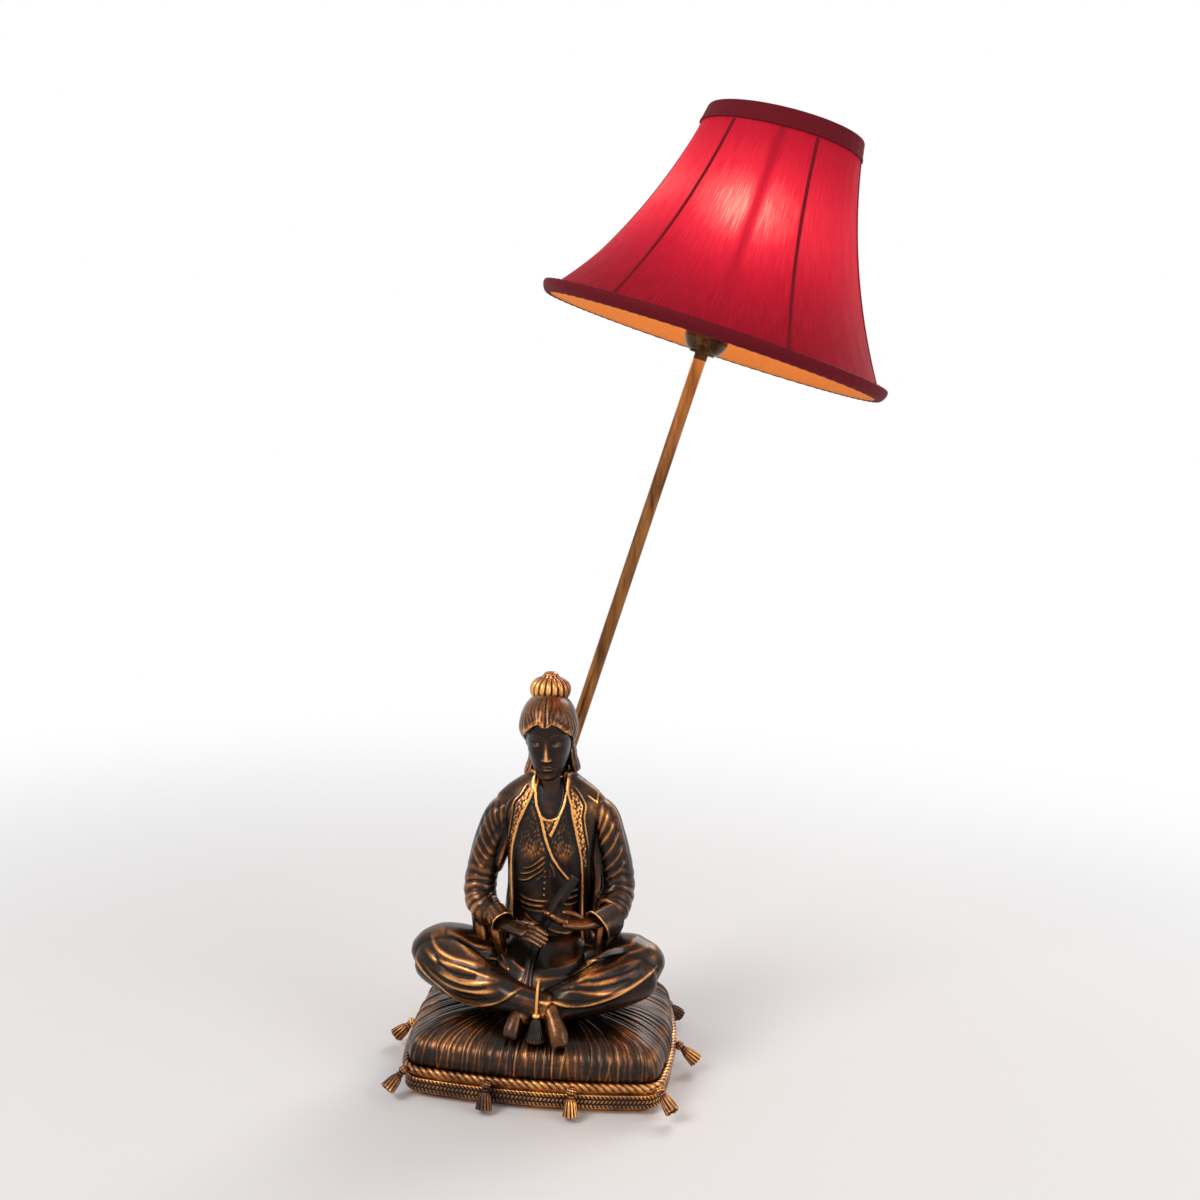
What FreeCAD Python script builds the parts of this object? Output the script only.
"""Leaning table lamp: a seated cold-cast figure on a tasselled pillow, a slanted brass stem behind it,
a harp lampholder and a six-panel bell shade.

Millimetres. The origin is the centre of the underside, +Z is up, the figure faces -Y and the stem leans to +X.
"""
import FreeCAD, Part
import math
import os

os.makedirs("parts", exist_ok=True)
Vec = FreeCAD.Vector
Z = Vec(0, 0, 1)

# ---------------------------------------------------------------- driving sizes: pillow
pillow_width = 224.0        # over the middles of the two short sides, at the rope's centre line
pillow_depth = 192.0        # over the middles of the two long sides, at the rope's centre line
side_bow = 8.5              # how far a short side bows out of the corner rectangle
front_bow = 10.5            # how far a long side bows out
corner_radius = 19.0        # at the rope's centre line
pillow_top = 60.0           # flat seat under the figure
casting_foot = 1.0          # the casting stands this much clear of the table, on its felt
plinth_set_back = 8.0       # plinth face inside the rope's centre line
plinth_height = 4.5
band_height = 11.5
band_thickness = 3.2
band_face = 0.8             # braid face inside the rope's centre line
rope_diameter = 8.0
rope_height = 23.5          # centre of the rope above the table
pleat_count = 40
pleat_depth = 1.2
casting_wall = 7.0
glue_gap = 0.15             # between pieces that are glued or pressed together
run_gap = 0.3               # between pieces that move past each other

# ---------------------------------------------------------------- driving sizes: underside
felt_thickness = 2.0
plate_thickness = 1.5
plate_set_back = 5.0        # plate edge inside the plinth face
screw_spread_x = 150.0
screw_spread_y = 116.0
screw_head_radius = 3.4
screw_radius = 1.9
screw_length = 10.0
screw_post_radius = 6.5
inlet_height = 11.2
inlet_bore = 7.0            # clear bore for the supply lead
bushing_radius = 4.9
bushing_lip_radius = 5.7
bushing_lip = 1.5

# ---------------------------------------------------------------- driving sizes: tassels
tassel_length = 20.0
tassel_skirt_radius = 5.9
tassel_knot_radius = 3.7
tassel_neck_radius = 2.5
tassel_flutes = 5
tassel_spacing = 68.0       # between the two tassels of a long side
side_tassel_shift = 6.0     # how far back of the middle the left side's tassel hangs

# ---------------------------------------------------------------- driving sizes: stem
stem_lean = 16.0            # degrees from upright, towards +X
stem_foot_x = -52.1
stem_foot_y = 58.0
stem_radius = 5.55          # 7/16 in tubing
stem_wall = 0.6
pipe_radius = 4.75          # all-thread pipe inside the stem
pipe_bore = 3.2
boss_radius = 13.0
boss_rise = 4.0             # boss above the seat level, along the stem
boss_drop = 14.0            # boss below the seat level, inside the casting
flange_radius = 13.5
flange_rise = 8.0
washer_radius = 11.0
washer_thickness = 1.5
nut_across_flats = 15.0
nut_height = 5.0
pipe_below_nut = 4.0
holder_station = 577.0      # underside of the lampholder cap, along the stem
saddle_thickness = 1.8
collar_height = 5.0
lead_radius = 2.4
lead_bend = 5.0
lead_below_pipe = 6.0       # lead's turn under the pipe
lead_over_plate = 9.0
lead_turn_x = -2.0          # first turn, from the pipe's foot
lead_turn_y = -6.0
splice_x = -12.0
splice_y = 52.0
splice_radius = 3.6
splice_length = 16.0

# ---------------------------------------------------------------- driving sizes: lampholder and bulb
cap_foot_radius = 12.5
cap_radius = 18.8
cap_dome = 10.0
cap_rim = 5.0
cap_wall = 1.1
shell_wall = 0.6
shell_length = 46.0
sleeve_wall = 0.8
body_length = 17.0
screw_shell_radius = 14.3
screw_shell_wall = 0.5
screw_shell_length = 24.0
contact_radius = 3.6
contact_height = 2.0
key_height = 9.0            # key axis above the shell's foot
key_shaft_radius = 2.0
key_reach = 27.0            # paddle's near end from the stem's axis
paddle_length = 12.0
paddle_width = 11.0
paddle_thickness = 3.0
bulb_cap_radius = 13.1
bulb_cap_length = 24.0
bulb_tip_radius = 4.5
bulb_tip_height = 1.4
bulb_radius = 30.0
bulb_length = 109.0         # foot contact to the crown of the glass
glass_wall = 0.8

# ---------------------------------------------------------------- driving sizes: harp
harp_wire_radius = 1.6
harp_foot_reach = 24.8      # leg from the stem's axis
harp_belly_reach = 49.0
saddle_strip_width = 7.0
lug_height = 15.0           # top of each saddle lug above the saddle's underside
ferrule_length = 13.0
ferrule_radius = 3.1
ferrule_travel = 10.0
pad_radius = 8.0
pad_thickness = 1.6
stud_radius = 2.9
stud_length = 8.0

# ---------------------------------------------------------------- driving sizes: shade
shade_height = 183.7        # between the centres of the two rings, along the stem
shade_bottom_radius = 147.6 # silk at its lower edge
shade_top_radius = 65.5     # silk at its upper edge
shade_foot_rise = 12.3      # lower ring above the lampholder's underside
shade_offset = 6.5          # the sprung harp holds the shade this far to the leaning side of the stem's axis
top_skew = 3.6              # degrees, the top ring lies this much nearer level than the bottom ring
shade_hollow = 11.0         # how far the ribs curve in from a straight cone
rib_count = 6
rib_turn = 24.6             # degrees from -Y towards +X, first rib
shade_sides = 30
shade_bays = 7               # straight bays of the cloth from foot to top
panel_tightness = 0.4       # 0 is a round section between ribs, 1 a flat panel
silk_thickness = 0.7
lining_thickness = 0.6
rib_radius = 1.1
ring_radius = 1.4
hem_radius = 4.6            # rolled trim round the lower edge
hem_drop = 3.0              # silk's lower edge below the lower ring's level
band_fold = 13.5            # height of the fold-over band down the outside at the top
band_cloth = 1.2
band_lip = 5.6              # how far the folded band reaches in over the top ring
seam_width = 4.0
seam_thickness = 0.8
spider_drop = 20.0          # top ring's level down to the top of the harp's pad
spider_washer_radius = 11.0
spider_washer_thickness = 1.6
finial_radius = 6.5
finial_height = 10.5

# ---------------------------------------------------------------- driving sizes: figure
figure_height = 282.0       # seat to the top of the topknot
drawn_height = 282.0        # the figure's landmarks are written down at this height
bell_set_in = 13.0          # bell tassel's middle inside the rope's centre line
sash_width = 12.0
sash_thickness = 2.0
hairline_height = 242.0     # over the seat, at the forehead
hairline_slope = 38.0       # degrees, hair's lower edge from forehead down to nape

# ---------------------------------------------------------------- flat sides of round pieces
turned_sides = 24
limb_sides = 13
body_sides = 18


# ================================================================ helpers
def save(name, shape):
    shape.exportStep("parts/" + name + ".step")
    print(name, len(shape.Solids), round(shape.Volume, 1), shape.isValid())


def cylinder(radius, bottom, top, x=0.0, y=0.0):
    return Part.makeCylinder(radius, top - bottom, Vec(x, y, bottom))


def tube(outer, inner, bottom, top):
    return cylinder(outer, bottom, top).cut(cylinder(inner, bottom, top))


def turned_rings(section, sides):
    return [ring_at(Vec(0, 0, h), Vec(1, 0, 0), Vec(0, 1, 0), r, r, sides) for r, h in section]


def turned(section, sides=turned_sides):
    """A turned piece about Z in flat facets, from (radius, height) corners."""
    return loft(turned_rings(section, sides))


def turned_ring(outside, inside, sides=turned_sides):
    """Turned shell between an outside and an inside profile, both from bottom to top."""
    return hoop(turned_rings(outside, sides) + turned_rings(inside, sides)[::-1])


def turned_tube(outer, inner, bottom, top):
    return turned_ring([(outer, bottom), (outer, top)], [(inner, bottom), (inner, top)])


def flat_face(corners):
    return Part.Face(Part.makePolygon(corners + corners[:1]))


def facets_between(low, high):
    """Flat facets joining two closed rings of equally many points."""
    faces = []
    for k in range(len(low)):
        after = (k + 1) % len(low)
        a, b, c, d = low[k], low[after], high[after], high[k]
        normal = (b - a).cross(d - a).normalize()
        if abs((c - a).dot(normal)) < 1e-6:
            faces.append(flat_face([a, b, c, d]))
        else:
            faces += [flat_face([a, b, c]), flat_face([a, c, d])]
    return faces


def solid_from(faces):
    shell = Part.makeShell(faces)
    shell.sewShape()
    solid = Part.makeSolid(shell)
    if solid.Volume < 0:
        solid.reverse()
    return solid


def loft(rings):
    """Loft through closed rings, with a flat face at each end."""
    faces = [flat_face(rings[0]), flat_face(rings[-1])]
    for low, high in zip(rings, rings[1:]):
        faces += facets_between(low, high)
    return solid_from(faces)


def hoop(rings):
    """Loft through closed rings and back to the first, for a wall with an open middle."""
    faces = []
    for low, high in zip(rings, rings[1:] + rings[:1]):
        faces += facets_between(low, high)
    return solid_from(faces)


def ring_at(centre, e1, e2, reach1, reach2, sides, flute=0.0):
    """Closed ring of points round a centre; flute moves every second point in and out."""
    ring = []
    for k in range(sides):
        turn = 2 * math.pi * k / sides
        swell = 1 + (flute if k % 2 else -flute)
        ring.append(centre + e1 * (reach1 * swell * math.cos(turn)) + e2 * (reach2 * swell * math.sin(turn)))
    return ring


def frame_along(direction, reference=Vec(0, 1, 0)):
    w = Vec(direction).normalize()
    e1 = reference.cross(w).normalize()
    return e1, w.cross(e1).normalize(), w


def limb(sections, sides=limb_sides, reference=Vec(0, 1, 0)):
    """Loft round a path: each section is (centre, reach across, reach along the reference)."""
    rings = []
    for k, (centre, across, along) in enumerate(sections):
        ahead = sections[min(k + 1, len(sections) - 1)][0]
        behind = sections[max(k - 1, 0)][0]
        e1, e2, _ = frame_along(ahead - behind, reference)
        rings.append(ring_at(centre, e1, e2, across, along, sides))
    return loft(rings)


def rounded_path(points, radius):
    """Straight runs through the points, joined by tangent arcs of one radius."""
    edges = []
    start = points[0]
    for before, corner, after in zip(points, points[1:], points[2:]):
        back = (before - corner).normalize()
        ahead = (after - corner).normalize()
        half = back.getAngle(ahead) / 2
        leg = radius / math.tan(half)
        middle = corner + (back + ahead).normalize() * (radius / math.sin(half) - radius)
        edges.append(Part.LineSegment(start, corner + back * leg).toShape())
        edges.append(Part.Arc(corner + back * leg, middle, corner + ahead * leg).toShape())
        start = corner + ahead * leg
    edges.append(Part.LineSegment(start, points[-1]).toShape())
    return Part.Wire(edges)


def wire_loft(path, radius, sides=6):
    """Round-section wire in flat facets along a rounded path, each bend in four steps."""
    rings = []
    e1 = None
    for edge in path.Edges:
        first, last = edge.ParameterRange
        bend = not isinstance(edge.Curve, Part.Line)
        for step in range(4 if bend else 1):
            at = first + (last - first) * step / (4 if bend else 1)
            ahead = edge.tangentAt(at)
            e1 = (e1 or frame_along(ahead, Z if abs(ahead.z) < 0.7 else Vec(0, 1, 0))[0])
            e1 = (e1 - ahead * e1.dot(ahead)).normalize()
            rings.append(ring_at(edge.valueAt(at), e1, ahead.cross(e1), radius, radius, sides))
    edge = path.Edges[-1]
    ahead = edge.tangentAt(edge.LastParameter)
    e1 = (e1 - ahead * e1.dot(ahead)).normalize()
    rings.append(ring_at(edge.valueAt(edge.LastParameter), e1, ahead.cross(e1), radius, radius, sides))
    return loft(rings)


# ================================================================ pillow outline: eight tangent arcs
half_width = pillow_width / 2
half_depth = pillow_depth / 2
side_arc = ((half_depth - front_bow) ** 2 + side_bow ** 2) / (2 * side_bow)
front_arc = ((half_width - side_bow) ** 2 + front_bow ** 2) / (2 * front_bow)


def corner_centre():
    """Centre of the corner arc, tangent to the arc of a short side and to the arc of a long side."""
    ax, by = half_width - side_arc, half_depth - front_arc
    ra, rb = side_arc - corner_radius, front_arc - corner_radius
    gap = math.hypot(ax, by)
    along = (ra ** 2 - rb ** 2 + gap ** 2) / (2 * gap)
    off = math.sqrt(ra ** 2 - along ** 2)
    ux, uy = -ax / gap, by / gap
    options = [(ax + ux * along - uy * off * s, uy * along + ux * off * s) for s in (1, -1)]
    return max(options)


corner_x, corner_y = corner_centre()
side_sweep = math.atan2(corner_y, corner_x - (half_width - side_arc))
front_sweep = math.atan2(corner_x, corner_y - (half_depth - front_arc))
corner_sweep = math.pi / 2 - side_sweep - front_sweep
quarter_length = side_arc * side_sweep + corner_radius * corner_sweep + front_arc * front_sweep


def quarter_station(length):
    """Point and outward direction on the first quarter of the rope's line, length along it from +X."""
    if length < side_arc * side_sweep:
        centre, radius, turn = (half_width - side_arc, 0), side_arc, length / side_arc
    elif length < side_arc * side_sweep + corner_radius * corner_sweep:
        past = length - side_arc * side_sweep
        centre, radius, turn = (corner_x, corner_y), corner_radius, side_sweep + past / corner_radius
    else:
        left = quarter_length - length
        centre, radius, turn = (0, half_depth - front_arc), front_arc, math.pi / 2 - left / front_arc
    out = Vec(math.cos(turn), math.sin(turn), 0)
    return Vec(centre[0], centre[1], 0) + out * radius, out


def station(length):
    """Point and outward direction at any length round the whole rope line, anticlockwise from +X."""
    quarter = int(length // quarter_length) % 4
    rest = length - (length // quarter_length) * quarter_length
    point, out = quarter_station(quarter_length - rest if quarter % 2 else rest)
    sx = -1 if quarter in (1, 2) else 1
    sy = -1 if quarter in (2, 3) else 1
    return Vec(point.x * sx, point.y * sy, 0), Vec(out.x * sx, out.y * sy, 0)


def rim_lengths():
    """Stations for plain outlines: closer together round the corners."""
    bends = (side_arc * side_sweep, side_arc * side_sweep + corner_radius * corner_sweep, quarter_length)
    quarter = [bends[0] * k / 3 for k in range(3)]
    quarter += [bends[0] + (bends[1] - bends[0]) * k / 5 for k in range(5)]
    quarter += [bends[1] + (bends[2] - bends[1]) * k / 3 for k in range(3)]
    mirrored = [2 * quarter_length - length for length in quarter[:0:-1]] + [2 * quarter_length]
    half = quarter + [quarter_length] + mirrored[:-1]
    return half + [2 * quarter_length + length for length in half]


def outline(offset, height):
    """Closed ring of points parallel to the rope's line, offset outwards, at a height."""
    marks = [station(length) for length in rim_lengths()]
    return [point + out * offset + Vec(0, 0, height) for point, out in marks]


def slab(offset, bottom, top):
    return loft([outline(offset, bottom), outline(offset, top)])


def pillow_ring(count, inset, shrink, height, ridge=(0.0, 0.0)):
    """Ring of stations drawn in by inset and then shrunk to the middle; every second one is a ridge."""
    ring = []
    for k in range(count):
        point, out = station(4 * quarter_length * k / count)
        sign = 1 if k % 2 else -1
        place = (point - out * (inset - sign * ridge[0])) * (1 - shrink)
        ring.append(Vec(place.x, place.y, height + sign * ridge[1]))
    return ring


# ================================================================ stem frame: Z runs up the leaning stem
stem_foot = Vec(stem_foot_x, stem_foot_y, pillow_top)
stem_place = FreeCAD.Placement(stem_foot, FreeCAD.Rotation(Vec(0, 1, 0), stem_lean))


def on_stem(shape, sideways=0.0):
    placed = shape.copy()
    aside = FreeCAD.Placement(Vec(sideways, 0, 0), FreeCAD.Rotation())
    placed.Placement = stem_place.multiply(aside).multiply(shape.Placement)
    return placed


# heights along the stem, from the seat level upwards
flange_foot = boss_rise
stem_seat = flange_foot + 2.0
saddle_foot = holder_station - saddle_thickness
stem_top = saddle_foot - collar_height
washer_top = -boss_drop
nut_top = washer_top - washer_thickness
pipe_foot = nut_top - nut_height - pipe_below_nut
pipe_top = holder_station + 6.0
shell_foot = holder_station + cap_dome + 1.0
shell_radius = cap_radius - cap_wall - glue_gap
shell_top = shell_foot + shell_length
sleeve_radius = shell_radius - shell_wall - glue_gap
body_radius = sleeve_radius - sleeve_wall - glue_gap
body_foot = shell_foot + 1.0
body_top = body_foot + body_length
contact_top = body_top + contact_height
key_station = shell_foot + key_height
bulb_foot = contact_top + run_gap
lower_ring = holder_station + shade_foot_rise
upper_ring = lower_ring + shade_height
harp_top = upper_ring - spider_drop
spider_foot = harp_top + run_gap
finial_foot = spider_foot + spider_washer_thickness + run_gap


# ================================================================ pillow
def pillow_profile():
    """(inset, shrink, height, ridge size) of each ring of the dome, from the rope to the seat."""
    side_face = rope_diameter / 2 + 2 * glue_gap
    steps = ((side_face, 0.0, 0.0, 0.0), (2.4, 0.0, 0.18, 0.8), (3.2, 0.0, 0.4, 1.0), (8.0, 0.0, 0.62, 1.0),
             (12.0, 0.06, 0.8, 1.0), (12.0, 0.18, 0.92, 0.8), (12.0, 0.34, 0.98, 0.5), (12.0, 0.44, 1.0, 0.0))
    foot = rope_height
    return [(inset, shrink, foot + rise * (pillow_top - foot), ridge) for inset, shrink, rise, ridge in steps]


def pillow_dome(count, ridged, drawn_in=0.0, lowered=0.0):
    levels = pillow_profile() if ridged else pillow_profile()[::2] + pillow_profile()[-1:]
    reach = min(half_width, half_depth)
    rings = []
    for k, (inset, shrink, height, ridge) in enumerate(levels):
        low = levels[max(k - 1, 0)]
        high = levels[min(k + 1, len(levels) - 1)]
        run = (high[0] - low[0]) + reach * (high[1] - low[1])
        rise = high[2] - low[2]
        slope = math.atan2(run, rise)
        depth = pleat_depth * ridge if ridged else 0.0
        lift = (depth * math.cos(slope), depth * math.sin(slope) if k else 0.0)
        rings.append(pillow_ring(count, inset + drawn_in, shrink, height - lowered, lift))
    return loft(rings)


def screw_places():
    return [(sx * screw_spread_x / 2, sy * screw_spread_y / 2) for sx in (1, -1) for sy in (1, -1)]


felt_top = felt_thickness
plate_top = felt_top + plate_thickness
plinth_top = casting_foot + plinth_height
band_top = plinth_top + band_height
band_seat = band_face + band_thickness
inlet_y = half_depth


def inlet_drill():
    return Part.makeCylinder(bushing_radius + glue_gap, 40, Vec(0, inlet_y - 30, inlet_height), Vec(0, 1, 0))


def cushion_casting():
    """Hollow pillow: plinth, waist behind the braid, pleated dome, stem boss and screw posts."""
    mouth = -plinth_set_back - plate_set_back
    roof = pillow_top - casting_wall - 3.0
    boss = on_stem(cylinder(boss_radius, -boss_drop, boss_rise))
    posts = []
    for x, y in screw_places():
        post = turned(((screw_post_radius, plate_top), (screw_post_radius, roof)), 8)
        post.translate(Vec(x, y, 0))
        posts.append(post)
    hollow = slab(mouth, plate_top, rope_height).fuse(pillow_dome(24, False, casting_wall, casting_wall))
    hollow = hollow.cut(Part.makeCompound(posts + [boss]))
    casting = slab(-plinth_set_back, casting_foot, plinth_top)
    casting = casting.fuse([slab(-band_seat - glue_gap, plinth_top, rope_height), pillow_dome(2 * pleat_count, True)])
    casting = casting.fuse(boss).cut(hollow).cut(slab(mouth, casting_foot, plate_top))
    drills = [cylinder(screw_radius + 0.2, plate_top, plate_top + screw_length, x, y) for x, y in screw_places()]
    spot_face = turned(((washer_radius + 1.0, pipe_foot - 2.0), (washer_radius + 1.0, washer_top)), 16)
    drills += [on_stem(cylinder(pipe_radius + glue_gap, -boss_drop - 1, boss_rise + 1)), inlet_drill(),
               on_stem(spot_face)]
    return casting.cut(Part.makeCompound(drills))


def braid_band():
    lip = 1.0
    rows = ((-band_face - lip, plinth_top), (-band_face, plinth_top + 2.4), (-band_face, band_top - 2.4),
            (-band_face - lip, band_top))
    inner = ((-band_seat, band_top), (-band_seat, plinth_top))
    return hoop([outline(offset, height) for offset, height in rows + inner]).cut(inlet_drill())


def rope_trim():
    rings = []
    for k in range(6):
        turn = 2 * math.pi * k / 6
        rings.append(outline(rope_diameter / 2 * math.cos(turn), rope_height + rope_diameter / 2 * math.sin(turn)))
    return hoop(rings)


def tassel(length, droop):
    """A tassel at a station of the rope; droop is the angle of its axis below level."""
    point, out = station(length)
    drop = math.radians(droop)
    axis = out * math.cos(drop) - Z * math.sin(drop)
    across = out.cross(Z)
    other = axis.cross(across)
    knot = point + out * (rope_diameter / 2 + 0.45 * tassel_knot_radius) + Vec(0, 0, rope_height - 1.0)
    steps = ((-0.85, 0.45), (-0.2, 1.0), (0.95, 0.68))
    rings = [ring_at(knot + axis * (t * tassel_knot_radius), across, other, r * tassel_knot_radius,
                     r * tassel_knot_radius, 2 * tassel_flutes) for t, r in steps]
    skirt = ((0.26, 0.62, 0.05), (1.0, 1.0, 0.07))
    rings += [ring_at(knot + axis * (t * tassel_length), across, other, r * tassel_skirt_radius,
                      r * tassel_skirt_radius, 2 * tassel_flutes, flute) for t, r, flute in skirt]
    return loft(rings)


def tassel_places():
    """name: (length round the rope, droop in degrees)."""
    front = 3 * quarter_length
    back = quarter_length
    half = tassel_spacing / 2
    corner = side_arc * side_sweep + corner_radius * corner_sweep / 2
    lap = 4 * quarter_length
    return {
        "tassel_front_left": (front - half, 73), "tassel_front_right": (front + half, 73),
        "tassel_back_left": (back + half, 73), "tassel_back_right": (back - half, 73),
        "tassel_side_left": (2 * quarter_length - side_tassel_shift, 43),
        "tassel_side_right": (0, 40),
        "tassel_corner_front_left": (2 * quarter_length + corner, 38),
        "tassel_corner_front_right": (lap - corner, 37),
        "tassel_corner_back_left": (2 * quarter_length - corner, 42),
        "tassel_corner_back_right": (corner, 45),
    }


def base_pieces():
    casting = cushion_casting()
    band = braid_band()
    rope = rope_trim()
    save("cushion_casting", casting)
    save("braid_band", band)
    save("rope_trim", rope)
    for name, (length, droop) in tassel_places().items():
        save(name, tassel(length, droop).cut(rope).cut(band))
    mouth = -plinth_set_back - plate_set_back - glue_gap
    plate = slab(mouth, felt_top, plate_top)
    felt = slab(mouth, 0, felt_top)
    screws = []
    for x, y in screw_places():
        head = turned(((screw_head_radius, felt_top), (screw_radius, plate_top),
                       (screw_radius, felt_top + screw_length)), 12)
        head.translate(Vec(x, y, 0))
        plate = plate.cut(head)
        screws.append(head)
    save("base_plate", plate)
    save("base_plate_screws", Part.makeCompound(screws))
    save("felt_pad", felt)
    wall = half_depth - plinth_set_back - plate_set_back - 1.5
    face = half_depth - band_face
    barrel = turned(((bushing_radius, wall - 2), (bushing_radius, face + glue_gap)))
    lip = turned(((bushing_lip_radius, face + glue_gap), (bushing_lip_radius, face + bushing_lip)))
    bushing = barrel.fuse(lip).cut(cylinder(inlet_bore / 2, wall - 2, face + bushing_lip))
    bushing.Placement = FreeCAD.Placement(Vec(0, 0, inlet_height), FreeCAD.Rotation(Vec(1, 0, 0), -90))
    save("cord_bushing", bushing)


# ================================================================ stem
def hexagon(across_flats, bottom, height, bore):
    reach = across_flats / math.sqrt(3)
    ring = ring_at(Vec(0, 0, bottom), Vec(1, 0, 0), Vec(0, 1, 0), reach, reach, 6)
    body = Part.Face(Part.makePolygon(ring + ring[:1])).extrude(Vec(0, 0, height))
    return body.cut(cylinder(bore, bottom, bottom + height))


def stem_pieces():
    fit = pipe_radius + glue_gap
    socket = stem_radius + glue_gap
    flange = turned_ring(((flange_radius, flange_foot), (flange_radius, flange_foot + 1.5),
                          (0.62 * flange_radius, flange_foot + 0.6 * flange_rise),
                          (socket + 1.6, flange_foot + flange_rise)),
                         ((fit, flange_foot), (fit, stem_seat - 0.01), (socket, stem_seat),
                          (socket, flange_foot + flange_rise)))
    save("stem_flange", on_stem(flange))
    save("stem_tube", on_stem(tube(stem_radius, stem_radius - stem_wall, stem_seat, stem_top)))
    save("threaded_pipe", on_stem(tube(pipe_radius, pipe_bore, pipe_foot, pipe_top)))
    save("stem_washer", on_stem(turned_tube(washer_radius, fit, nut_top, washer_top)))
    save("stem_lock_nut", on_stem(hexagon(nut_across_flats, nut_top - nut_height, nut_height, fit)))
    save("neck_collar", on_stem(turned_tube(stem_radius + 0.25, fit, stem_top, saddle_foot)))
    lead = lead_path()
    save("inner_lead", wire_loft(lead, lead_radius, 8))
    end = lead.Edges[-1].valueAt(lead.Edges[-1].LastParameter)
    ahead = lead.Edges[-1].tangentAt(lead.Edges[-1].LastParameter)
    splices = []
    e1, e2, _ = frame_along(ahead, Z)
    for side in (1, -1):
        middle = end + e1 * (side * (splice_radius + glue_gap))
        splices.append(loft([ring_at(middle, e1, e2, splice_radius, splice_radius, 10),
                             ring_at(middle + ahead * splice_length, e1, e2, 0.6 * splice_radius,
                                     0.6 * splice_radius, 10)]))
    save("lead_splices", Part.makeCompound(splices))


def lead_path():
    """Inner lead: out of the pipe's top into the socket, down the pipe, and along the base to the splices."""
    top = stem_place.multVec(Vec(0, 0, body_foot - glue_gap))
    foot = stem_place.multVec(Vec(0, 0, pipe_foot - lead_below_pipe))
    turn = Vec(foot.x + lead_turn_x, foot.y + lead_turn_y, plate_top + lead_over_plate)
    end = Vec(splice_x, splice_y, plate_top + lead_over_plate)
    return rounded_path([top, foot, turn, end], lead_bend)


# ================================================================ lampholder
def holder_pieces():
    fit = pipe_radius + glue_gap
    foot = holder_station
    cap = turned_ring(((cap_foot_radius, foot), (cap_foot_radius + 1.5, foot + 1.0), (cap_radius, foot + cap_dome),
                       (cap_radius, foot + cap_dome + cap_rim)),
                      ((fit, foot), (fit, foot + 2.4), (cap_foot_radius, foot + 2.41),
                       (cap_radius - cap_wall, foot + cap_dome), (cap_radius - cap_wall, foot + cap_dome + cap_rim)))
    save("socket_cap", on_stem(cap))
    drill = Part.makeCylinder(key_shaft_radius + run_gap, 40, Vec(8, 0, key_station), Vec(1, 0, 0))
    shell = turned_tube(shell_radius, shell_radius - shell_wall, shell_foot, shell_top).cut(drill)
    save("socket_shell", on_stem(shell))
    sleeve = turned_tube(sleeve_radius, sleeve_radius - sleeve_wall, shell_foot, shell_top - 1.5).cut(drill)
    save("insulating_sleeve", on_stem(sleeve))
    body = turned(((body_radius, body_foot), (body_radius, body_top))).cut(drill)
    save("socket_body", on_stem(body))
    screw = turned_tube(screw_shell_radius, screw_shell_radius - screw_shell_wall, body_top,
                        body_top + screw_shell_length)
    save("screw_shell", on_stem(screw))
    save("centre_contact", on_stem(turned(((contact_radius, body_top), (contact_radius, contact_top)), 16)))
    shaft = Part.makeCylinder(key_shaft_radius, key_reach - 8 - run_gap, Vec(8 + run_gap, 0, key_station), Vec(1, 0, 0))
    paddle = Part.makeBox(paddle_length, paddle_width, paddle_thickness,
                          Vec(key_reach, -paddle_width / 2, key_station - paddle_thickness / 2))
    paddle = paddle.makeFillet(0.35 * paddle_width, [edge for edge in paddle.Edges
                                                     if abs(edge.tangentAt(edge.FirstParameter).z) > 0.9
                                                     and edge.CenterOfMass.x > key_reach + 1])
    save("switch_key", on_stem(shaft.fuse(paddle)))


def bulb_pieces():
    foot = bulb_foot
    cap_foot = foot + bulb_tip_height
    cap_top = cap_foot + bulb_cap_length
    save("bulb_contact", on_stem(turned(((bulb_tip_radius, foot), (bulb_tip_radius, cap_foot)), 16)))
    cup = turned_ring(((bulb_cap_radius, cap_foot), (bulb_cap_radius, cap_top)),
                      ((bulb_cap_radius - 0.5, cap_foot + 1.2), (bulb_cap_radius - 0.5, cap_top)))
    save("bulb_cap", on_stem(cup))
    rise = foot + bulb_length - cap_top
    shape = ((0.0, 0.40), (0.12, 0.45), (0.3, 0.72), (0.45, 0.93), (0.6, 1.0), (0.75, 0.94), (0.88, 0.72),
             (0.96, 0.42), (1.0, 0.12))

    def glass(inset):
        rings = []
        for up, out in shape:
            reach = out * bulb_radius - inset
            centre = Vec(0, 0, cap_top + up * rise - (inset if up > 0.5 else 0.0))
            rings.append(ring_at(centre, Vec(1, 0, 0), Vec(0, 1, 0), reach, reach, 16))
        return loft(rings)
    save("bulb_glass", on_stem(glass(0.0).cut(glass(glass_wall))))


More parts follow.
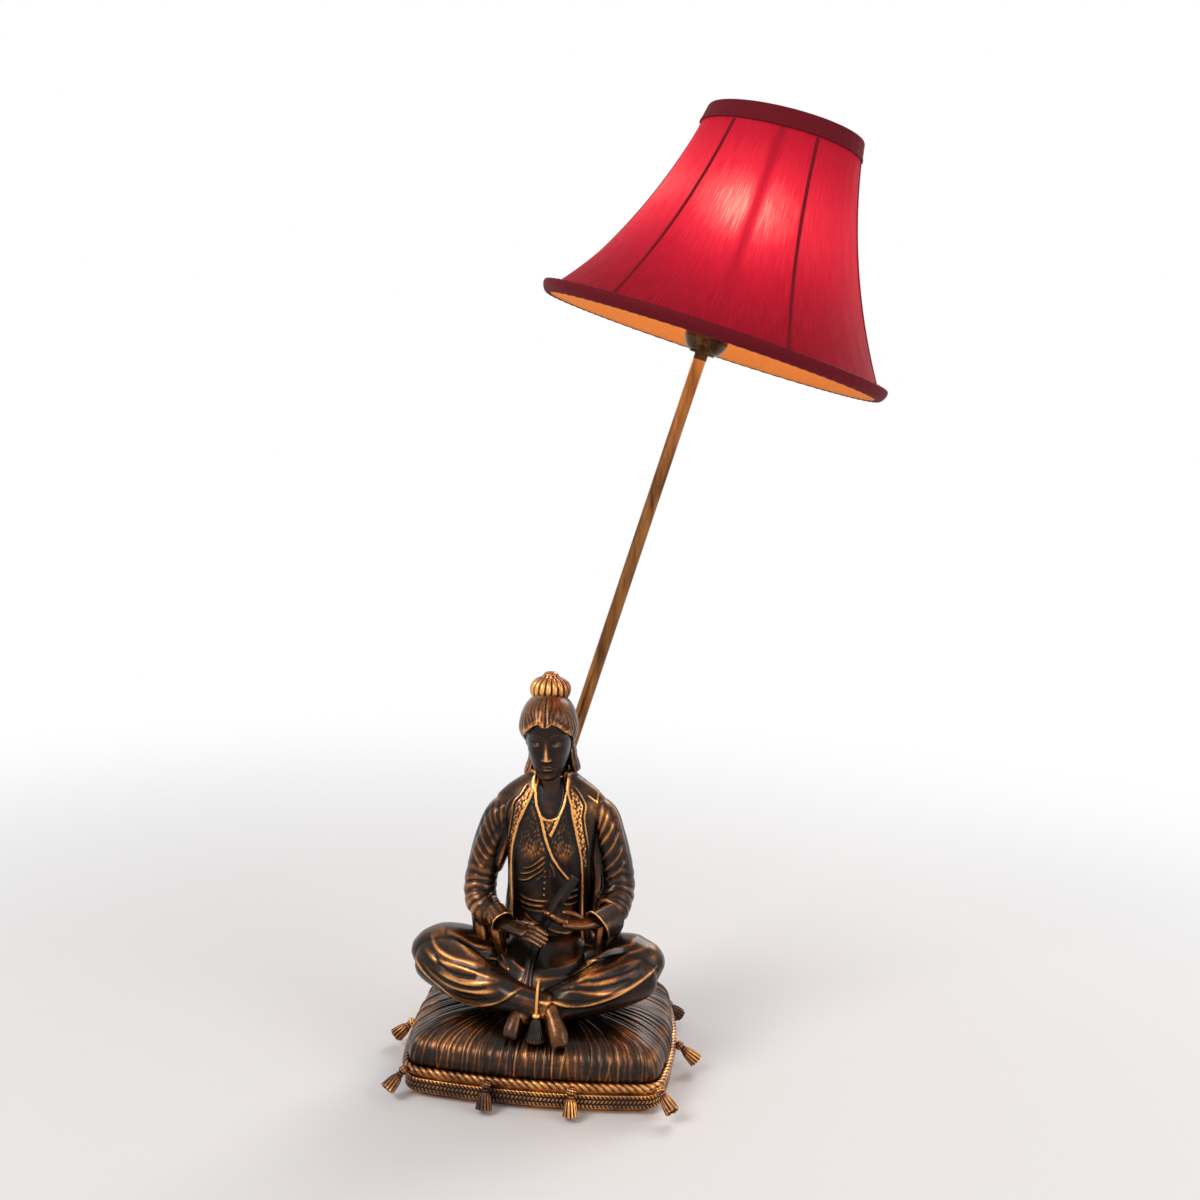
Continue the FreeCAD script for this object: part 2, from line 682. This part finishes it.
# ================================================================ harp: the bow stands in the front-to-back plane
def harp_pieces():
    fit = pipe_radius + glue_gap
    reach = harp_foot_reach
    half = saddle_thickness / 2
    strip = Part.makeBox(saddle_strip_width, 2 * (reach + half), saddle_thickness,
                         Vec(-saddle_strip_width / 2, -reach - half, saddle_foot))
    saddle = strip.fuse(turned(((cap_foot_radius - 1.6, saddle_foot), (cap_foot_radius - 1.6, holder_station))))
    lug_foot = holder_station + 4.0
    lug_top = saddle_foot + lug_height
    for side in (1, -1):
        upright = Part.makeBox(saddle_strip_width, saddle_thickness, lug_foot - saddle_foot,
                               Vec(-saddle_strip_width / 2, side * reach - half, saddle_foot))
        lug = turned(((harp_wire_radius, lug_foot), (harp_wire_radius, lug_top)), 8)
        lug.translate(Vec(0, side * reach, 0))
        saddle = saddle.fuse([upright, lug])
    bore = turned(((fit, saddle_foot), (fit, holder_station)))
    save("harp_saddle", on_stem(saddle.cut(bore)))

    belly = harp_belly_reach
    rise = harp_top - pad_thickness - lug_top
    crest = lug_top + rise - 0.6 * harp_wire_radius
    aside = shade_offset
    corners = [Vec(0, reach, lug_top), Vec(0, reach, lug_top + 0.12 * rise),
               Vec(0.4 * aside, belly, lug_top + 0.42 * rise), Vec(0.9 * aside, belly, lug_top + 0.72 * rise),
               Vec(aside, 0.52 * belly, crest), Vec(aside, 0, crest)]
    leg = rounded_path(corners, 16.0)
    bow = wire_loft(leg, harp_wire_radius)
    bow = bow.fuse(bow.mirror(Vec(), Vec(0, 1, 0)))
    pad = turned(((pad_radius, harp_top - pad_thickness), (pad_radius, harp_top)), 16)
    stud = cylinder(stud_radius, harp_top, finial_foot + stud_length)
    pad.translate(Vec(aside, 0, 0))
    stud.translate(Vec(aside, 0, 0))
    save("harp_bow", on_stem(bow.fuse([pad, stud])))
    for name, side in (("harp_ferrule_front", -1), ("harp_ferrule_back", 1)):
        bottom = lug_foot + run_gap
        sleeve = turned_ring(((ferrule_radius, bottom), (ferrule_radius, bottom + ferrule_length)),
                             ((harp_wire_radius + run_gap, bottom),
                              (harp_wire_radius + run_gap, bottom + ferrule_length)), 16)
        sleeve.translate(Vec(0, side * reach, 0))
        save(name, on_stem(sleeve))


# ================================================================ shade: arcs concentric with the ribs
shade_slant = math.hypot(shade_bottom_radius - shade_top_radius, shade_height + hem_drop)
rib_arc = (shade_slant ** 2 / 4 + shade_hollow ** 2) / (2 * shade_hollow)
foot_station = lower_ring - hem_drop
band_foot = 1 - band_fold / shade_slant


def rib_centre():
    """Centre (radius, height) of the silk's meridian arc, outside the shade."""
    middle = ((shade_bottom_radius + shade_top_radius) / 2, foot_station + (shade_height + hem_drop) / 2)
    lean = ((shade_bottom_radius - shade_top_radius) / shade_slant, (shade_height + hem_drop) / shade_slant)
    reach = rib_arc - shade_hollow
    return middle[0] + reach * lean[1], middle[1] + reach * lean[0]


arc_r, arc_z = rib_centre()
arc_low = math.atan2(foot_station - arc_z, shade_bottom_radius - arc_r)
arc_high = math.atan2(foot_station + shade_height + hem_drop - arc_z, shade_top_radius - arc_r)
if arc_high < 0:
    arc_high += 2 * math.pi
if arc_low < 0:
    arc_low += 2 * math.pi


def arc_point(along, inward):
    turn = arc_low + (arc_high - arc_low) * along
    reach = rib_arc + inward
    return arc_r + reach * math.cos(turn), arc_z + reach * math.sin(turn)


def meridian(along, inward):
    """(radius, height) on the shade's wall, along from 0 at the silk's foot to 1 at its top.

    Every layer follows the same chords, so that cloth, wires and seams lie evenly on each other.
    """
    bay = min(max(int(along * shade_bays + 1e-9), 0), shade_bays - 1)
    low, high = arc_point(bay / shade_bays, inward), arc_point((bay + 1) / shade_bays, inward)
    part = along * shade_bays - bay
    return low[0] + (high[0] - low[0]) * part, low[1] + (high[1] - low[1]) * part


def bay_stops(low, high):
    """Places along the wall from low to high, with every bend between them."""
    return [low] + [k / shade_bays for k in range(shade_bays + 1) if low + 1e-6 < k / shade_bays < high - 1e-6] + [high]


def panel_factor(turn, along):
    """Flattening of the silk between two ribs, none at the rings."""
    step = 2 * math.pi / rib_count
    off = abs((turn + step / 2) % step - step / 2)
    chord = math.cos(step / 2) / math.cos(step / 2 - off)
    return 1 + panel_tightness * math.sin(math.pi * min(max(along, 0), 1)) * (chord - 1)


def skewed(place, along):
    """Raise the leaning side in step with the height on the wall, up to top_skew at the top ring."""
    return place + Vec(0, 0, place.x * math.tan(math.radians(top_skew)) * min(max(along, 0), 1))


def shade_ring(radius, height, along):
    """Ring of the shade's wall at that share of its height."""
    ring = []
    for k in range(shade_sides):
        turn = 2 * math.pi * k / shade_sides
        reach = radius * panel_factor(turn, along)
        heading = math.radians(rib_turn) + turn
        ring.append(skewed(Vec(reach * math.sin(heading), -reach * math.cos(heading), height), along))
    return ring


def wall_rings(inward, low=0.0, high=1.0):
    return [shade_ring(*meridian(along, inward), along) for along in bay_stops(low, high)]


def wall(inward, thickness, low=0.0, high=1.0):
    """A skin of the shade: its outer face lies inward of the silk's face."""
    return hoop(wall_rings(inward, low, high) + wall_rings(inward + thickness, low, high)[::-1])


def rib_point(k, along, inward):
    radius, height = meridian(along, inward)
    heading = math.radians(rib_turn) + 2 * math.pi * k / rib_count
    return skewed(Vec(radius * math.sin(heading), -radius * math.cos(heading), height), along)


def ring_wire(radius, height, half, along, sides=8):
    """Round-section hoop with as many straight runs as the shade has sides."""
    rings = []
    for k in range(sides):
        turn = 2 * math.pi * (k + 0.5) / sides
        rings.append(shade_ring(radius + half * math.cos(turn), height + half * math.sin(turn), along))
    return hoop(rings)


def rib_wire(k, low, high, inward):
    rings = []
    across = rib_point(k, 0, 0).cross(Z).normalize()
    for along in bay_stops(low, high):
        here = rib_point(k, along, inward)
        normal = (here - rib_point(k, along, inward + 5)).normalize()
        rings.append(ring_at(here, across, normal, rib_radius, rib_radius, 6))
    return loft(rings)


def on_shade(shape):
    return on_stem(shape, shade_offset)


def shade_pieces():
    wire_in = silk_thickness + run_gap + rib_radius
    save("shade_silk", on_shade(wall(0.0, silk_thickness)))
    lining_in = wire_in + ring_radius + 2 * run_gap
    lining_high = 0.955
    save("shade_lining", on_shade(wall(lining_in, lining_thickness, 0.0, lining_high)))

    low_ring = meridian(0.012, wire_in + ring_radius - rib_radius)
    high_ring = meridian(0.985, wire_in + ring_radius - rib_radius)
    lower = ring_wire(low_ring[0], low_ring[1], ring_radius, 0, 6)
    upper = ring_wire(high_ring[0], high_ring[1], ring_radius, 1, 6)
    ribs = [rib_wire(k, 0.012, 0.985, wire_in).cut([lower, upper]) for k in range(rib_count)]
    save("shade_lower_ring", on_shade(lower))
    save("shade_upper_ring", on_shade(upper))
    save("shade_ribs", on_shade(Part.makeCompound(ribs)))
    washer_middle = spider_foot + spider_washer_thickness / 2
    arms = []
    for k in range(0, rib_count, 2):
        outer = rib_point(k, 0.985, wire_in + ring_radius)
        out = Vec(outer.x, outer.y, 0).normalize()
        inner = out * (spider_washer_radius - 1.0) + Vec(0, 0, washer_middle)
        e1, e2, _ = frame_along(outer - inner, Z)
        arm = 0.7 * spider_washer_thickness
        arms.append(loft([ring_at(inner, e1, e2, arm, arm / 2, 6), ring_at(outer, e1, e2, arm, arm / 2, 6)]))
    washer_top_station = spider_foot + spider_washer_thickness
    disc = turned(((spider_washer_radius, spider_foot), (spider_washer_radius, washer_top_station)))
    bore = cylinder(stud_radius + run_gap, spider_foot - 1, washer_top_station + 1)
    # the arms butt against the washer's rim, so that nothing closes over the finial's foot
    arms = [bar.cut([disc, upper] + ribs) for bar in arms]
    save("shade_spider", on_shade(Part.makeCompound([disc.cut(bore)] + arms)))

    hem_sides = 8
    hem_r, hem_z = meridian(0.6 * hem_drop / shade_slant, -hem_radius * math.cos(math.pi / hem_sides) - run_gap)
    save("hem_trim", on_shade(ring_wire(hem_r, hem_z, hem_radius, 0, hem_sides)))
    save("top_band", on_shade(top_band()))
    seams = []
    for k in range(rib_count):
        across = rib_point(k, 0, 0).cross(Z).normalize()
        rings = []
        for along in bay_stops(0.045, band_foot - 0.004):
            here = rib_point(k, along, -run_gap)
            out = (rib_point(k, along, -5) - here).normalize()
            side = across * (seam_width / 2)
            lift = out * seam_thickness
            rings.append([here - side, here + side, here + side * 0.7 + lift, here - side * 0.7 + lift])
        seams.append(loft(rings))
    save("rib_seams", on_shade(Part.makeCompound(seams)))
    bore = stud_radius + glue_gap
    r, h, z0 = finial_radius, finial_height, finial_foot
    finial = turned(((0.7 * r, z0), (0.75 * r, z0 + 0.12 * h), (0.55 * r, z0 + 0.24 * h), (r, z0 + 0.52 * h),
                     (0.8 * r, z0 + 0.86 * h), (0.3 * r, z0 + h)), 20)
    finial = finial.cut(cylinder(bore, z0, z0 + stud_length + run_gap))
    save("finial", on_shade(finial))


def top_band():
    """Folded cloth over the silk's upper edge: down the outside and rounded over the top."""
    cloth = band_cloth
    top_r, top_z = meridian(1.0, 0.0)
    outside = wall_rings(-run_gap - cloth, band_foot, 1.0)
    over = ((0.2, 1.6), (2.4, 2.3), (band_lip, 2.0), (band_lip, 0.8), (0.0, 0.3))
    outside += [shade_ring(top_r - inward, top_z + rise, 1.0) for inward, rise in over]
    return hoop(outside + wall_rings(-run_gap, band_foot, 0.99)[::-1])


# ================================================================ figure: landmarks are (x, y, height above the seat)
scale = figure_height / drawn_height


def mark(x, y, height):
    return Vec(x * scale, y * scale, pillow_top + height * scale)


def level_loft(sections, sides=body_sides, flute=0.0):
    """Loft through level ovals: (height, x, y, half width, half depth)."""
    rings = [ring_at(mark(x, y, h), Vec(1, 0, 0), Vec(0, 1, 0), rx * scale, ry * scale, sides, flute)
             for h, x, y, rx, ry in sections]
    return loft(rings)


def arm_loft(sections, reference=Vec(0, 1, 0), sides=limb_sides):
    """Loft round a path of landmarks: (x, y, height, half across, half along the reference)."""
    return limb([(mark(x, y, h), across * scale, along * scale) for x, y, h, across, along in sections], sides,
                reference)


def robe():
    trunk = level_loft(((0, -4, 14, 44, 30), (30, -3, 12, 44, 31), (60, -1, 9, 40, 29), (90, 2, 6, 36, 26.5),
                        (110, 2, 3, 34.5, 25), (132, 1, 2, 38, 26), (152, 0, 2, 39, 23), (166, -1, 3, 34, 19),
                        (175, -1, 3, 24, 15), (180, -1, 3, 15, 12.5)))
    left = arm_loft(((-28, 4, 164, 12, 14), (-38, 5, 160, 14, 15), (-51, 6, 140, 14, 16), (-60, 6, 115, 13.5, 15.5),
                     (-63, 2, 94, 14, 14.5), (-58, -10, 80, 14.5, 13), (-46, -24, 74, 14, 12.5),
                     (-33, -34, 72, 13, 12)))
    right = arm_loft(((26, 4, 168, 12, 14), (35, 5, 165, 14, 15), (48, 6, 145, 14, 16), (57, 6, 121, 13.5, 15.5),
                      (60, 2, 101, 14, 14.5), (58, -12, 90, 14, 13), (53, -25, 84, 13.5, 12.5),
                      (44, -36, 80, 12.5, 12)))
    return trunk.fuse([left, right])


def trousers(upper):
    left_thigh = ((-20, 8, 25, 23, 24), (-50, -4, 30, 24, 25), (-78, -14, 38, 24, 24), (-94, -19, 40, 22, 22),
                  (-106, -22, 42, 15, 15), (-113, -23, 43, 5, 5))
    left_shin = ((-96, -20, 37, 20, 20), (-72, -37, 31, 23, 20), (-44, -54, 26, 19, 17), (-16, -66, 23, 13, 12),
                 (10, -72, 19, 10, 9.5))
    right_thigh = ((14, 8, 25, 23, 24), (42, -4, 31, 24, 25), (66, -13, 39, 24, 24), (82, -18, 41, 22, 22),
                   (94, -21, 44, 15, 15), (101, -22, 45, 5, 5))
    right_shin = ((84, -20, 36, 20, 20), (60, -37, 28, 22, 20), (33, -54, 22, 18, 17), (6, -64, 15, 12, 12),
                  (-14, -70, 10, 8, 9))
    lap = ((2, 0, -18, 38, 32), (18, 0, -22, 42, 36), (34, 0, -20, 40, 32), (48, 0, -12, 34, 24), (58, 0, -4, 26, 18))
    legs = arm_loft(left_thigh).fuse([arm_loft(left_shin), arm_loft(right_thigh), arm_loft(right_shin),
                                      level_loft(lap)])
    return legs.cut(upper)


def head(upper):
    skull = level_loft(((190, -3, -7, 8, 10), (196, -3, -7, 13.5, 16), (207, -4, -5, 17.5, 21.5),
                        (220, -4, -4, 19.5, 24), (233, -4.5, -3, 20, 25), (245, -5, -2, 18.5, 24),
                        (254, -5, -1, 13, 18), (259, -5.5, 0, 5, 8)), 18)
    neck = level_loft(((176, -1, 4, 13, 12), (186, -2, 2, 12, 12), (204, -3, 0, 12, 12)), 18)
    return skull.fuse(neck).cut(upper)


def hair(under):
    cap = level_loft(((200, -4, 9, 19, 17), (212, -4, 7, 24, 23), (226, -4.5, 4, 25.5, 28), (238, -5, 2, 25, 30),
                      (248, -5, 1, 22.5, 28), (256, -5.5, 2, 17, 21), (261, -6, 3, 11, 13)), 18)
    front = Part.makeBox(120 * scale, 120 * scale, 120 * scale)
    front.translate(Vec(-60, -120, -120) * scale)
    front.rotate(Vec(), Vec(1, 0, 0), -hairline_slope)
    front.translate(mark(-4, -27, hairline_height))
    tails = [arm_loft(((-26, 8, 228, 3, 5), (-28, 9, 214, 4, 6), (-25, 10, 200, 4, 6), (-28, 11, 186, 5, 7)),
                      sides=8),
             arm_loft(((17.5, 8, 228, 3, 5), (19.5, 9, 214, 4, 6), (18, 10, 203, 4, 6), (23, 11, 191, 5, 7)),
                      sides=8)]
    return cap.cut(front).fuse(tails).cut(under)


def topknot(under):
    ribs = level_loft(((257, -6, 4, 10, 10), (261, -6, 4, 14.5, 14), (267, -6, 4, 16.5, 16), (273, -6, 4, 14, 13.5),
                       (277, -6, 4, 8, 8)), 20, 0.035)
    button = level_loft(((276, -6, 4, 6.5, 6.5), (280, -6, 4, 6, 6), (282, -6, 4, 4, 4)), 12)
    return ribs.fuse(button).cut(under)


def figure_pieces():
    upper = robe()
    lower = trousers(upper)
    face = head(upper)
    dressed = hair(face).cut(upper)
    save("figure_robe", upper)
    save("figure_trousers", lower)
    save("figure_head", face)
    save("figure_hair", dressed)
    save("figure_topknot", topknot(dressed.fuse(face)))
    left = arm_loft(((-36, -32, 72.5, 6, 6), (-20, -43, 71, 7.5, 5.5), (-10, -50, 71, 8, 4), (0, -57, 70, 6.5, 3.2),
                     (6, -61, 69, 3, 1.8)), Z, 10)
    right = arm_loft(((47, -34, 80.5, 6, 6), (32, -42, 79.5, 7.5, 5), (20, -46, 82, 8, 3.8), (9, -49, 88, 6.5, 3),
                      (3, -50, 92, 3, 1.8)), Z, 10)
    save("hand_left", left.cut(upper))
    save("hand_right", right.cut(upper))
    left_foot = arm_loft(((-13, -68, 13, 7, 7), (-16, -75, 8, 7, 7), (-18, -81, 1, 6.5, 5.5), (-19, -86, -3, 5, 3.5),
                          (-19.5, -89, -4.5, 3, 2)), Vec(1, 0, 0), 10)
    right_foot = arm_loft(((12, -73, 16, 8, 8), (18, -80, 8, 8, 8), (22, -86, 0, 6.5, 7), (24, -91, -5.5, 4, 5.5),
                           (24.5, -94, -8, 2, 3)), Vec(1, 0, 0), 10)
    save("foot_left", left_foot.cut(lower))
    save("foot_right", right_foot.cut(lower))
    sash = sash_ribbon().cut(upper).cut(lower)
    save("sash_ribbon", sash)
    hang = (bell_set_in - half_depth) / scale
    bell = level_loft(((-5, 2, hang, 8, 8), (-3, 2, hang, 8.5, 8.5), (8, 2, hang, 4.5, 4.5), (13, 2, hang, 2.4, 2.4),
                       (15.5, 2, hang, 3.4, 3.4), (18, 2, hang, 2, 2), (33, 2, hang + 2, 1.3, 1.3),
                       (40, 2, -76, 1.2, 1.2)), 12)
    save("bell_tassel", bell.cut(lower))


def sash_ribbon():
    """Flat sash from the waist over the lap."""
    route = ((23, -19, 118), (20, -25, 104), (15, -30, 88), (9, -37, 70), (3, -45, 54), (-6, -55, 38),
             (-13, -60, 27))
    rings = []
    for k, (x, y, h) in enumerate(route):
        here = mark(x, y, h)
        ahead = mark(*route[min(k + 1, len(route) - 1)]) - mark(*route[max(k - 1, 0)])
        across = Vec(1, 0, 0)
        across = (across - ahead * (across.dot(ahead) / ahead.dot(ahead))).normalize()
        out = ahead.cross(across).normalize()
        side = across * (sash_width / 2)
        lift = out * (sash_thickness / 2)
        rings.append([here - side - lift, here + side - lift, here + side + lift, here - side + lift])
    return loft(rings)


def main():
    base_pieces()
    figure_pieces()
    stem_pieces()
    holder_pieces()
    bulb_pieces()
    harp_pieces()
    shade_pieces()


main()
